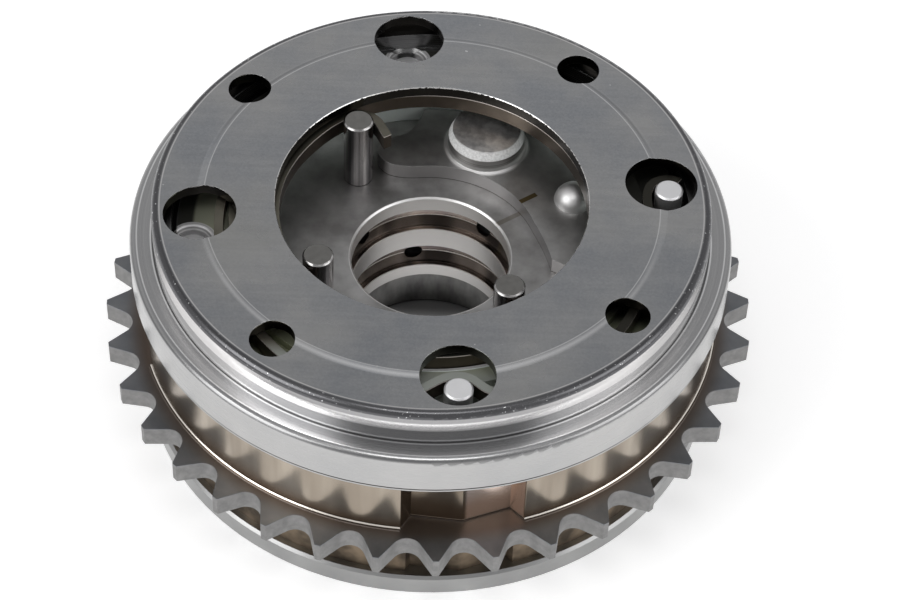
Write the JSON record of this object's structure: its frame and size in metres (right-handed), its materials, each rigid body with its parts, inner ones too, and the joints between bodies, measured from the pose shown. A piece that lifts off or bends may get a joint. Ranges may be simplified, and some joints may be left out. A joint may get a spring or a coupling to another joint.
{
  "type": "cam phaser",
  "caption": "Chain-driven variable cam timing unit: toothed housing, vane rotor with grooved bore, and a flat spiral return spring under a drawn steel cup.",
  "frame": {"origin": "on the axis at the rear face, which it rests on", "axes": "+Z along the axis to the front cup; +X to the right and +Y away from the viewer in the picture's upright view"},
  "size_m": [0.113, 0.113, 0.0443],
  "materials": {
    "drawn_sheet": "satin drawn sheet with fine scratches",
    "polished_steel": "fine turned and polished",
    "turned_steel": "satin turned",
    "sintered_steel": "straw-tinted satin sintered steel",
    "rotor_steel": "satin machined sintered steel",
    "spring_steel": "dark tempered strip",
    "spring_wire": "drawn wire",
    "leaf_steel": "bright strip",
    "ground_steel": "ground",
    "hard_steel": "hardened and ground",
    "screw_steel": "plain hardened",
    "ball_steel": "polished ball",
    "seal_plastic": "filled seal plastic"
  },
  "bodies": {
    "housing": {"stator_sprocket": "sintered_steel", "spring_cover": "drawn_sheet", "front_cover": "polished_steel", "rear_cover": "turned_steel", "lock_bush": "hard_steel", "cover_dowel": "ground_steel", "return_spring": "spring_steel", "housing_screw_1": "screw_steel", "housing_screw_2": "screw_steel", "spring_post_screw_1": "screw_steel", "spring_post_screw_2": "screw_steel", "shoe_seal_1": "seal_plastic", "shoe_seal_2": "seal_plastic", "shoe_seal_3": "seal_plastic", "shoe_seal_4": "seal_plastic", "shoe_seal_spring_1": "leaf_steel", "shoe_seal_spring_2": "leaf_steel", "shoe_seal_spring_3": "leaf_steel", "shoe_seal_spring_4": "leaf_steel"},
    "rotor": {"rotor": "rotor_steel", "rotor_pin_1": "ground_steel", "rotor_pin_2": "ground_steel", "rotor_pin_3": "ground_steel", "oil_plug_ball": "ball_steel", "lock_pin_spring": "spring_wire", "vane_seal_1": "seal_plastic", "vane_seal_2": "seal_plastic", "vane_seal_3": "seal_plastic", "vane_seal_4": "seal_plastic", "vane_seal_spring_1": "leaf_steel", "vane_seal_spring_2": "leaf_steel", "vane_seal_spring_3": "leaf_steel", "vane_seal_spring_4": "leaf_steel"},
    "lock_pin": {"lock_pin": "hard_steel"}
  },
  "joints": [
    {"name": "rotor_turn", "type": "hinge", "parent": "housing", "child": "rotor", "pos_m": [0, 0, 0.0165], "axis": [0, 0, 1], "range_deg": [-35, 0], "stiffness_Nm_per_rad": 0.3, "springref_deg": 57.3, "deforming": ["return_spring"]},
    {"name": "lock_pin_lift", "type": "slide", "parent": "rotor", "child": "lock_pin", "axis": [0, 0, 1], "range_m": [0, 0.0032], "stiffness_N_per_m": 20, "springref_m": -0.003, "deforming": ["lock_pin_spring"]}
  ]
}
